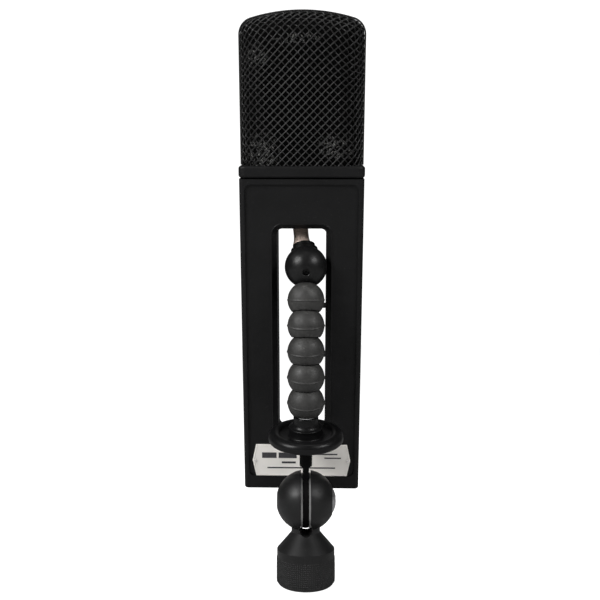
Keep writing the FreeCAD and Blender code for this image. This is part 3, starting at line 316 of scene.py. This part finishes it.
def fine_weave(name):
    """The lining: steel wires finer than the outer grille's, painted near black as painted shade, with painted
    highlights in patches.
    """
    material, node = shader(name, (0.03, 0.03, 0.03), 0.9, specular=0.02)
    tree = material.node_tree
    coordinates = tree.nodes.new("ShaderNodeTexCoord")
    mapping = tree.nodes.new("ShaderNodeMapping")
    mapping.inputs["Rotation"].default_value = (0, math.radians(45), 0)
    tree.links.new(coordinates.outputs["Object"], mapping.inputs["Vector"])
    split = tree.nodes.new("ShaderNodeSeparateXYZ")
    tree.links.new(mapping.outputs["Vector"], split.inputs["Vector"])
    pitch = 0.75 * MM
    wires = []
    for axis in ("X", "Z"):
        phase = combine(tree, "MULTIPLY", split.outputs[axis], 2 * math.pi / pitch)
        wires.append(spread(tree, combine(tree, "SINE", phase, 0.0), 0, 1, -0.3, 0.9))
    weave = combine(tree, "MAXIMUM", wires[0], wires[1])
    painted_glint_mask = 0.0
    for x, z, wide, tall in LINING_GLINTS:
        painted_glint_mask = combine(tree, "MAXIMUM", painted_glint_mask, patch(tree, x, z, wide, tall))
    sparkle = spread(tree, noise(tree, 900, 2), 0, 1, 0.52, 0.62)
    painted_glint_mask = combine(tree, "MULTIPLY", painted_glint_mask, sparkle)
    # Painted shade: the whole weave is near black, and the patches get painted highlights of 0.22.
    faint = blend_colour(tree, weave, (0.0008, 0.0008, 0.0008), (0.0035, 0.0035, 0.0035))
    glint = combine(tree, "MULTIPLY", painted_glint_mask, weave)
    tree.links.new(blend_colour(tree, glint, faint, (0.22, 0.22, 0.21)), node.inputs["Base Color"])
    bump(tree, node, weave, 0.8, 0.2)
    return material


def make_materials():
    return {
        "adapter_black": powder_coat("adapter_black", (0.007, 0.007, 0.0071), 0.42, 4200, 0.4, 0.26),
        "knurl_black": powder_coat("knurl_black", (0.008, 0.008, 0.0081), 0.42, 5000, 0.15, 0.3),
        "flange_black": powder_coat("flange_black", (0.004, 0.004, 0.0042), 0.33, 4200, 0.35),
        "ball_black": powder_coat("ball_black", (0.0036, 0.0036, 0.0037), 0.38, 4800, 0.3, 0.26),
        "body_black": powder_coat("body_black", (0.004, 0.004, 0.0042), 0.50, 5200, 0.4),
        "edge_black": powder_coat("edge_black", (0.006, 0.006, 0.0062), 0.36, 5200, 0.2),
        "grille_black": powder_coat("grille_black", (0.011, 0.011, 0.0108), 0.36, 5000, 0.2, 0.34),
        "bead_rubber": rubber("bead_rubber", (0.021, 0.0205, 0.0195), 0.4),
        "bead_worn": rubber("bead_worn", (0.024, 0.0235, 0.0222), 1.0),
        "insert_steel": steel("insert_steel", (0.45, 0.44, 0.42), 0.35),
        "bright_steel": steel("bright_steel", (0.74, 0.74, 0.75), 0.16),
        "screw_steel": steel("screw_steel", (0.55, 0.55, 0.56), 0.34),
        "stud_nickel": steel("stud_nickel", (0.62, 0.50, 0.43), 0.3, (1, 1, 12), metallic=0.6),
        # A darker, duller copy of the black coat: painted shade on the ball's collar, the tongue and the relief
        # plug.
        "shade_black": powder_coat("shade_black", (0.002, 0.002, 0.002), 0.5, 4800, 0.1, 0.06),
        "washer_steel": steel("washer_steel", (0.42, 0.42, 0.415), 0.4, metallic=0.7),
        "set_screw": powder_coat("set_screw", (0.006, 0.006, 0.006), 0.4),
        "core_cable": steel("core_cable", (0.35, 0.35, 0.36), 0.35),
        "inner_metal": steel("inner_metal", (0.4, 0.4, 0.41), 0.4),
        "gasket_rubber": rubber("gasket_rubber", (0.001, 0.001, 0.001), 0.0, 0.0),
        "lining_mesh": fine_weave("lining_mesh"),
        "capsule_brass": steel("capsule_brass", (0.6, 0.45, 0.22), 0.3),
        "diaphragm_gold": steel("diaphragm_gold", (0.83, 0.66, 0.3), 0.15),
        "saddle_plastic": moulded("saddle_plastic", (0.02, 0.02, 0.02)),
        "lever_plastic": moulded("lever_plastic", (0.03, 0.03, 0.032), 0.4),
        "board_green": moulded("board_green", (0.02, 0.13, 0.06), 0.35),
        "board_parts": moulded("board_parts", (0.04, 0.04, 0.05), 0.3),
        "connector_shell": powder_coat("connector_shell", (0.012, 0.012, 0.012)),
        "connector_insert": moulded("connector_insert", (0.02, 0.02, 0.02), 0.35),
        "connector_pins": steel("connector_pins", (0.78, 0.62, 0.32), 0.2),
        "screw_black": powder_coat("screw_black", (0.012, 0.012, 0.012), 0.35),
        "plate_silver": silver_plate("plate_silver"),
        "engraving": moulded("engraving", (0.05, 0.05, 0.055), 0.45),
    }


def silver_plate(name):
    """Satin silver sheet: fine grain along its length with a warm, uneven tone."""
    material, node = shader(name, (0.95, 0.93, 0.89), 0.42)
    tree = material.node_tree
    tone = spread(tree, noise(tree, 60, 4), 0, 1)
    silver = blend_colour(tree, tone, (0.98, 0.95, 0.90), (0.90, 0.87, 0.82))
    tree.links.new(silver, node.inputs["Base Color"])
    tree.links.new(spread(tree, noise(tree, 900, 3, (1, 14, 14)), 0.34, 0.5), node.inputs["Roughness"])
    bump(tree, node, noise(tree, 1500, 3, (1, 14, 14)), 0.1, 0.01)
    return material


MATERIALS = make_materials()


def finish_cad_nodes():
    """Give every CAD node the material of its slot, or a closer one."""
    closer = {
        # The ball's collar and the tongue take the darker black, as painted shade.
        "flange_disc": "flange_black", "top_ball": "ball_black", "ball_collar": "shade_black",
        "pivot_screw": "screw_steel", "pivot_nut": "screw_steel", "tilt_tongue": "shade_black",
        "friction_washer_left": "washer_steel", "friction_washer_right": "washer_steel",
    }
    for part in frame["record"]["subparts"]:
        node = frame["nodes"][part["node"]]
        material = MATERIALS[closer.get(part["node"], part["material_slot"])]
        node.data.materials.clear()
        node.data.materials.append(material)


# ---------------------------------------------------------------- stand adapter and arm

def make_knurl():
    """Fine cross-knurling: a sleeve of small pyramids round the adapter's grip."""
    radius = 12.28
    height = 0.42
    steepness = 1.3
    rounding = 2.5
    low, high = 1.5, 12.2
    columns, rows = 90, 13
    per_column, per_row = 4, 4
    across = columns * per_column
    points = []
    for k in range(rows * per_row + 1):
        z = low + (high - low) * k / (rows * per_row)
        row_wave = 1 - abs(2 * ((k / per_row) % 1) - 1)
        for i in range(across):
            column_wave = 1 - abs(2 * ((i / per_column) % 1) - 1)
            rise = height * min(1.0, steepness * min(row_wave, column_wave))
            if k in (0, rows * per_row):
                rise = 0.0
            edge = max(0.0, rounding - z)
            inset = rounding - math.sqrt(max(rounding ** 2 - edge ** 2, 0))
            angle = 2 * math.pi * i / across
            r = radius + rise - inset
            points.append((r * math.cos(angle), r * math.sin(angle), z))
    faces = []
    for k in range(rows * per_row):
        for i in range(across):
            j = (i + 1) % across
            low_row = k * across
            faces.append((low_row + i, low_row + j, low_row + across + j, low_row + across + i))
    material = MATERIALS["knurl_black"]
    knurl = add_mesh("grip_knurl", points, faces, Matrix.Identity(4), material, "base", None)


def make_flange():
    """The foot plate with rounded lip, dished top and waisted hub."""
    profile = [(0, -1.9), (2.7, -2.0)]
    profile += arc(14.9, -0.9, 1.1, -90, 0, 8)
    profile += arc(13.4, -0.1, 2.6, 0, 148, 28)
    profile += [(10.5, 0.9), (9.6, 0.62), (8.6, 0.5)]
    profile += arc(7.8, 1.1, 0.6, -90, -180, 6)
    profile += [(7.1, 2.4), (7.1, 3.4), (7.25, 3.8)]
    profile += arc(7.0, 4.1, 0.38, 0, 110, 8)
    profile += [(6.2, 4.8), (5.7, 5.5), (5.4, 6.5), (5.3, 7.6), (5.3, 8.6)]
    profile += arc(5.0, 8.7, 0.3, 0, 90, 5)
    profile += [(2.0, 9.0)]
    points, faces = turned(profile, 128)
    flange = add_mesh("flange_turned", points, faces, FLANGE, MATERIALS["flange_black"], "arm_foot", 50)
    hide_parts("flange_disc")


def make_base_plug():
    """A dark plug in the painted-shade black that closes the rear of the relief hole under the tongue."""
    radius, thickness = 2.95, 0.6
    centre = Vector((0, 8.6, 24.8)) * MM
    points, faces = turned([(0, 0), (radius, 0), (radius, thickness), (0, thickness)], 32)
    place = Matrix.Translation(centre) @ Matrix.Rotation(math.pi / 2, 4, "X")
    plug = add_mesh("relief_plug", points, faces, place, MATERIALS["shade_black"], "base")


def make_ball():
    """The ball, turned about the axis of the grub screw's hole, with that hole sunk in it."""
    radius, hole, depth = 9.05, 1.5, 2.6
    chamfer = 0.15
    socket, socket_depth = 0.7, 0.8
    mouth = math.degrees(math.acos((hole + chamfer) / radius))
    floor = radius - depth
    profile = [(0, -radius)] + arc(0, 0, radius, -89, mouth, 72)
    profile += [(hole, math.sqrt(radius ** 2 - hole ** 2) - chamfer), (hole, floor)]
    profile += [(socket, floor), (socket, floor - socket_depth), (0, floor - socket_depth)]
    points, faces = turned(profile, 96)
    aim = Vector((0, -math.cos(HOLE_DIP), -math.sin(HOLE_DIP)))
    place = standing(BALL, aim)
    ball = add_mesh("ball_turned", points, faces, place, MATERIALS["ball_black"], "arm_ball", 40)
    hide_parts("top_ball", "grub_screw")


def make_beads():
    """Hollow rubber beads with a rounded lower rim, each with its mould ridge as a separate ring."""
    radius = 7.8
    cup = radius + 0.15
    cup_rim = 5.0
    bore = 2.0
    pitch = 10.86
    lip = 0.6
    lip_r, lip_z = 5.69, -4.41
    lip_end = math.degrees(math.atan2(lip_z, lip_r))
    foot_r, foot_z = 5.2, -4.76
    foot_end = math.degrees(math.atan2(foot_z, foot_r))
    bore_end = math.degrees(math.acos(bore / radius))
    ridge_peak, ridge_half = 8.06, 0.75
    ridge_profile = [(radius - 0.15, -ridge_half), (ridge_peak - 0.04, -0.1), (ridge_peak, 0.0),
                     (ridge_peak - 0.04, 0.1), (radius - 0.15, ridge_half)]
    for number in range(1, 6):
        body = "arm_foot" if number == 5 else f"arm_link_{number}"
        if number == 5:
            profile = [(bore, -5.15), (4.9, -5.2)]
            profile += arc(foot_r, foot_z, lip, -100, foot_end, 6)
            start = foot_end
        else:
            top = math.degrees(math.acos(bore / cup))
            rim = math.degrees(math.acos(cup_rim / cup))
            profile = arc(0, -pitch, cup, top, rim, 8)
            profile += arc(lip_r, lip_z, lip, -131, lip_end, 8)
            start = lip_end
        profile += arc(0, 0, radius, start, bore_end, 48)
        points, faces = turned(profile, 96)
        material = MATERIALS["bead_worn" if number < 3 else "bead_rubber"]
        bead = add_mesh(f"bead_moulded_{number}", points, faces, BEADS[number], material, body, 40)
        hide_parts(f"bead_{number}")
        points, faces = turned(ridge_profile, 96)
        tilted = BEADS[number] @ Matrix.Rotation(math.radians(RIDGE_TILT[number]), 4, "X")
        ridge = add_mesh(f"bead_ridge_{number}", points, faces, tilted, material, body, 60)


def make_stud():
    """The waisted, polished stud between the ball's collar and the slot's top wall."""
    slot_top = 120.3
    root = MIC @ Vector((0, 0, slot_top * MM))
    axis = (root - BALL).normalized()
    left_shift = 0.75
    foot = BALL - Vector((left_shift * MM, 0, 0))
    length = (root - BALL).length / MM
    start = 10.2
    span = length - start
    tail_radius, tail = 3.4, 7.8
    profile = [(0, start), (3.8, start)] + arc(3.8, start + 0.35, 0.25, -90, 60, 5)
    for k in range(1, 15):
        f = k / 15
        waist = 3.2 + 0.8 * (1 - f) ** 5 + 0.25 * f ** 3
        profile.append((waist, start + 0.6 + (span - 0.6) * f))
    profile += [(tail_radius, length), (tail_radius, length + tail), (0, length + tail)]
    points, faces = turned(profile, 64)
    place = standing(foot, axis)
    stud = add_mesh("stud_turned", points, faces, place, MATERIALS["stud_nickel"], "microphone", 60)
    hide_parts("coupling_stud")


# ---------------------------------------------------------------- grille

# Half the flat width, the sides' and top's bends, the lowest and highest points, the crown's radius
# and the roundness of the upper corners.
GRILLE_FLAT = 14.7
GRILLE_BEND = 10.7
GRILLE_TOP_BEND = 9.5
GRILLE_BASE = 144.5
GRILLE_PEAK = 208.1
CROWN_RADIUS = 75.0
CORNER_POWER = 5.7
# For each family of wires: how far it weaves, how far it stands out and its radius.
GRILLE_WEAVE = {1: (0.08, 0.14, 0.27), -1: (0.40, -0.14, 0.23)}
# How far the lining lies inside the wires, over most of it and at the seam, where it reaches outside.
LINING_INSET = 1.35
SEAM_INSET = -0.3


def grille_surface(s, t, inset=0.0):
    """The pressed front half of the grille.

    s and t run across and up the sheet it is pressed from. Returns points and, for each, how far
    it is towards the seam, 1 at the seam and more than 1 outside the sheet.
    """
    bend = GRILLE_BEND - inset
    top_bend = GRILLE_TOP_BEND - inset
    rise = GRILLE_PEAK - GRILLE_TOP_BEND - GRILLE_BASE
    side = np.clip((np.abs(s) - GRILLE_FLAT) / bend, 0, None)
    crown = np.clip((t - rise) / top_bend, 0, None)
    a_side = np.sin(np.clip(side, 0, math.pi / 2)) + np.clip(side - math.pi / 2, 0, None)
    a_crown = np.sin(np.clip(crown, 0, math.pi / 2)) + np.clip(crown - math.pi / 2, 0, None)
    reach = (a_side ** CORNER_POWER + a_crown ** CORNER_POWER) ** (1 / CORNER_POWER)
    shrink = np.where(reach > 1, 1 / np.maximum(reach, 1e-9), 1.0)
    x = np.sign(s) * (np.minimum(np.abs(s), GRILLE_FLAT) + bend * a_side * shrink)
    z = GRILLE_BASE + np.minimum(t, rise) + top_bend * a_crown * shrink
    drop = CROWN_RADIUS - np.sqrt(CROWN_RADIUS ** 2 - x ** 2)
    near_top = np.clip((t - rise + 25) / 25, 0, 1)
    z = z - drop * near_top * near_top * (3 - 2 * near_top)
    y = -bend * np.sqrt(np.clip(1 - (reach * shrink) ** 2, 0, 1))
    return np.stack([x, y, z], axis=-1), reach


def grille_normals(s, t, inset=0.0):
    step = 0.05
    along_s = grille_surface(s + step, t, inset)[0] - grille_surface(s - step, t, inset)[0]
    along_t = grille_surface(s, t + step, inset)[0] - grille_surface(s, t - step, inset)[0]
    normals = np.cross(along_s, along_t)
    return normals / np.maximum(np.linalg.norm(normals, axis=-1, keepdims=True), 1e-9)


def woven_wires(pitch, weave, samples, sides, inset=0.0):
    """Both families of diagonal wires of one half. The weave gives each family's crimp, lift and radius."""
    half_span = GRILLE_FLAT + (GRILLE_BEND - inset) * math.pi / 2
    height = GRILLE_PEAK - GRILLE_TOP_BEND - GRILLE_BASE + (GRILLE_TOP_BEND - inset) * math.pi / 2
    diagonal = pitch * math.sqrt(2)
    step = pitch / samples
    points, faces = [], []
    for family, (crimp, lift, radius) in weave.items():
        first = int(math.floor((-half_span - height) / diagonal))
        last = int(math.ceil((half_span + height) / diagonal))
        for index in range(first, last + 1):
            q = np.arange(0, height * math.sqrt(2), step)
            t = q / math.sqrt(2)
            s = index * diagonal + family * t
            inside = np.abs(s) <= half_span
            if inside.sum() < 3:
                continue
            s, t = s[inside], t[inside]
            places, reach = grille_surface(s, t, inset)
            normals = grille_normals(s, t, inset)
            crossing = (s + family * t) / diagonal
            wave = family * np.cos(math.pi * (crossing + index))
            places = places + normals * (lift + crimp * wave)[:, None]
            keep = reach <= 1.0
            run = []
            for k in range(len(keep) + 1):
                if k < len(keep) and keep[k]:
                    run.append(k)
                    continue
                if len(run) > 2:
                    tube_rings(places[run], normals[run], radius, sides, points, faces)
                run = []
    return np.array(points), faces


def both_halves(points, faces):
    """The front half and the same half turned to the rear."""
    rear = points * np.array([-1, -1, 1])
    count = len(points)
    return np.concatenate([points, rear]), faces + [tuple(i + count for i in face) for face in faces]


def make_grille():
    samples = 5
    points, faces = both_halves(*woven_wires(2.3, GRILLE_WEAVE, samples, 6))
    wires = add_mesh("grille_wires", points, faces, MIC, MATERIALS["grille_black"], "microphone", None)
    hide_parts("grille_basket")
    points, faces = both_halves(*lining_sheet())
    lining = add_mesh("grille_lining", points, faces, MIC, MATERIALS["lining_mesh"], "microphone", 60)
    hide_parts("inner_mesh")


def lining_sheet():
    """One half of the lining as a sheet of quads; near the seam it reaches out to the hoop."""
    closing = 0.25
    half_span = GRILLE_FLAT + GRILLE_BEND * math.pi / 2
    height = GRILLE_PEAK - GRILLE_TOP_BEND - GRILLE_BASE + GRILLE_TOP_BEND * math.pi / 2
    columns, rows = 110, 100
    s, t = np.meshgrid(np.linspace(-half_span, half_span, columns), np.linspace(0, height, rows))
    places, reach = grille_surface(s, t)
    inset = SEAM_INSET + (LINING_INSET - SEAM_INSET) * np.clip((1 - reach) / closing, 0, 1)
    places = places - grille_normals(s, t) * inset[..., None]
    points = places.reshape(-1, 3)
    inside = (reach < 1.0).ravel()
    faces = []
    for k in range(rows - 1):
        for i in range(columns - 1):
            face = (k * columns + i, k * columns + i + 1, (k + 1) * columns + i + 1, (k + 1) * columns + i)
            if any(inside[c] for c in face):
                faces.append(face)
    used = sorted({c for face in faces for c in face})
    place = {c: n for n, c in enumerate(used)}
    return points[used], [tuple(place[c] for c in face) for face in faces]


# ---------------------------------------------------------------- edges, nameplate and screws

def box_points(low, high):
    """Points and faces of a box between two corners."""
    points = [(x, y, z) for x in (low[0], high[0]) for y in (low[1], high[1]) for z in (low[2], high[2])]
    faces = [(0, 1, 3, 2), (4, 6, 7, 5), (0, 4, 5, 1), (2, 3, 7, 6), (0, 2, 6, 4), (1, 5, 7, 3)]
    return points, faces


def rounded_loop(half, low, high, radius, y, steps=10):
    """A closed rounded rectangle in the plane of the body's front, as an array of points."""
    corners = ((half - radius, low + radius, -90), (half - radius, high - radius, 0),
               (radius - half, high - radius, 90), (radius - half, low + radius, 180))
    loop = []
    for x, z, start in corners:
        for angle in np.radians(np.linspace(start, start + 90, steps)):
            loop.append((x + radius * math.cos(angle), y, z + radius * math.sin(angle)))
    loop.append(loop[0])
    return np.array(loop)


def make_slot_edges():
    """The coat's built-up edge where the slot's chamfer meets each face."""
    half, low, high, corner = 12.93, 21.7, 122.6, 4.7
    thickness = 0.3
    for name, y in (("front", -10.75), ("rear", 10.75)):
        path = rounded_loop(half, low, high, corner, y)
        outward = np.tile((0.0, math.copysign(1, y), 0.0), (len(path), 1))
        points, faces = [], []
        tube_rings(path, outward, thickness, 8, points, faces)
        material = MATERIALS["edge_black"]
        edge = add_mesh(f"slot_edge_{name}", points, faces, MIC, material, "microphone", None)


def make_nameplate():
    """The silver plate's raised border, domed rivets and engraved bars in place of lettering."""
    low, high, half, tip, front = 6.4, 21.8, 20.7, 22.3, -11.2
    middle = (low + high) / 2
    shape = [(-half, low), (half, low), (tip, middle), (half, high), (-half, high), (-tip, middle)]
    path = np.array([(x, front, z) for x, z in shape + shape[:1]])
    inward, thickness = 0.45, 0.16
    silver = MATERIALS["plate_silver"]
    for k in range(len(shape)):
        points, faces = [], []
        outward = np.tile((0.0, -1.0, 0.0), (2, 1))
        ends = path[k:k + 2].copy()
        ends[:, 0] -= np.sign(ends[:, 0]) * inward
        ends[:, 2] -= np.sign(ends[:, 2] - middle) * inward
        tube_rings(ends, outward, thickness, 8, points, faces)
        border = add_mesh(f"plate_border_{k}", points, faces, MIC, silver, "microphone", 60)
    bars = {
        "title_a": (-18.0, -11.4, 15.2, 17.9), "title_b": (-10.4, -2.2, 15.2, 17.9),
        "badge": (10.5, 18.0, 15.0, 15.6),
        "badge_line": (3.6, 16.4, 16.9, 17.5), "model": (-9.0, -2.6, 12.6, 13.5),
        "maker": (-15.6, 15.4, 10.1, 10.7),
    }
    for name, (left, right, bottom, top) in bars.items():
        points, faces = box_points((left, front - 0.06, bottom), (right, front + 0.05, top))
        bar = add_mesh(f"plate_bar_{name}", points, faces, MIC, MATERIALS["engraving"], "microphone")
    rivet_radius, flattening = 0.75, 0.6
    for name, x in (("left", -21.2), ("right", 21.2)):
        spot = Matrix.Translation((x * MM, front * MM, middle * MM))
        place = MIC @ spot @ Matrix.Rotation(math.pi / 2, 4, "X")
        profile = [(rivet_radius, -0.1)] + arc(0, 0, rivet_radius, 0, 90, 8)
        points, faces = turned([(r, z * flattening) for r, z in profile], 24)
        material = MATERIALS["bright_steel"]
        rivet = add_mesh(f"plate_rivet_{name}", points, faces, place, material, "microphone", 60)


def make_screw_heads():
    """Domed heads with round sockets on the rear plate and the bottom cap."""
    spots = [(f"rear_{'l' if x < 0 else 'r'}{n}", (x, 10.8, z), -90)
             for x in (-19.5, 19.5) for n, z in enumerate((12, 72, 134), 1)]
    spots += [(f"cap_{n}", (x, 0.0, 0.0), 180) for n, x in enumerate((-18, 18), 1)]
    for name, where, turn in spots:
        place = MIC @ Matrix.Translation(Vector(where) * MM) @ Matrix.Rotation(math.radians(turn), 4, "X")
        socket = [(0, 0.25), (1.05, 0.25), (1.05, 1.02)]
        profile = socket + [(1.2, 1.08), (1.6, 1.0), (1.95, 0.8), (2.2, 0.45), (2.25, 0.1)]
        points, faces = turned(profile, 36)
        material = MATERIALS["screw_black"]
        head = add_mesh(f"screw_head_{name}", points, faces, place, material, "microphone", 40)


# ---------------------------------------------------------------- stage, camera and light

def make_stage():
    """A pale floor that the camera sees as white, and pale surroundings that light very little."""
    size = 4.0
    mesh = bpy.data.meshes.new("floor")
    corners = [(-size, -size, 0), (size, -size, 0), (size, size, 0), (-size, size, 0)]
    mesh.from_pydata(corners, [], [(0, 1, 2, 3)])
    floor = bpy.data.objects.new("floor", mesh)
    bpy.context.scene.collection.objects.link(floor)
    material, node = shader("floor_white", (0.55, 0.55, 0.55), 0.9, specular=0.0)
    tree = material.node_tree
    path = tree.nodes.new("ShaderNodeLightPath")
    glow = tree.nodes.new("ShaderNodeEmission")
    glow.inputs["Color"].default_value = (1, 1, 1, 1)
    glow.inputs["Strength"].default_value = 0.99
    seen = tree.nodes.new("ShaderNodeAddShader")
    choice = tree.nodes.new("ShaderNodeMixShader")
    tree.links.new(node.outputs["BSDF"], seen.inputs[0])
    tree.links.new(glow.outputs["Emission"], seen.inputs[1])
    tree.links.new(path.outputs["Is Camera Ray"], choice.inputs["Fac"])
    tree.links.new(node.outputs["BSDF"], choice.inputs[1])
    tree.links.new(seen.outputs["Shader"], choice.inputs[2])
    tree.links.new(choice.outputs["Shader"], tree.nodes["Material Output"].inputs["Surface"])
    mesh.materials.append(material)

    world = bpy.data.worlds.new("surroundings")
    bpy.context.scene.world = world
    world.use_nodes = True
    tree = world.node_tree
    dim = tree.nodes["Background"]
    dim.inputs["Color"].default_value = (1, 1, 1, 1)
    heading = tree.nodes.new("ShaderNodeTexCoord")
    split = tree.nodes.new("ShaderNodeSeparateXYZ")
    tree.links.new(heading.outputs["Generated"], split.inputs["Vector"])
    backdrop = spread(tree, split.outputs["Y"], 0.035, 0.2, 0.6, 0.9)
    tree.links.new(backdrop, dim.inputs["Strength"])
    white = tree.nodes.new("ShaderNodeBackground")
    white.inputs["Color"].default_value = (1, 1, 1, 1)
    white.inputs["Strength"].default_value = 1.15
    path = tree.nodes.new("ShaderNodeLightPath")
    choice = tree.nodes.new("ShaderNodeMixShader")
    tree.links.new(path.outputs["Is Camera Ray"], choice.inputs["Fac"])
    tree.links.new(dim.outputs["Background"], choice.inputs[1])
    tree.links.new(white.outputs["Background"], choice.inputs[2])
    tree.links.new(choice.outputs["Shader"], tree.nodes["World Output"].inputs["Surface"])


def add_softbox(name, direction, distance, width, power):
    """A square soft light that faces the middle of the object."""
    middle = Vector((0, 0, 0.12))
    light = bpy.data.lights.new(name, "AREA")
    light.shape = "SQUARE"
    light.size = width
    light.energy = power
    lamp = bpy.data.objects.new(name, light)
    towards = Vector(direction).normalized()
    lamp.location = middle + towards * distance
    lamp.rotation_euler = towards.to_track_quat("Z", "Y").to_euler()
    bpy.context.scene.collection.objects.link(lamp)


def make_lights():
    """Two soft keys at the front, the left one stronger, and a weak light from above."""
    add_softbox("key_left", (-0.67, -0.54, 0.51), 1.1, 0.42, 13)
    add_softbox("key_right", (0.67, -0.56, 0.53), 1.1, 0.36, 6.5)
    add_softbox("top_fill", (0.0, -0.1, 1.0), 1.2, 0.6, 2)


def make_camera():
    """The camera stands in front, a little below the ball, and looks slightly up."""
    data = bpy.data.cameras.new("camera")
    data.sensor_width = 36
    data.lens = 44.4
    camera = bpy.data.objects.new("camera", data)
    camera.location = (-0.00251, -0.32531, 0.11195)
    camera.rotation_euler = (math.radians(92), 0, 0)
    bpy.context.scene.collection.objects.link(camera)
    bpy.context.scene.camera = camera
    bpy.context.scene.view_settings.view_transform = "Standard"


make_camera()
make_stage()
make_lights()
finish_cad_nodes()
make_knurl()
make_base_plug()
make_flange()
make_ball()
make_beads()
make_stud()
make_grille()
make_slot_edges()
make_nameplate()
make_screw_heads()
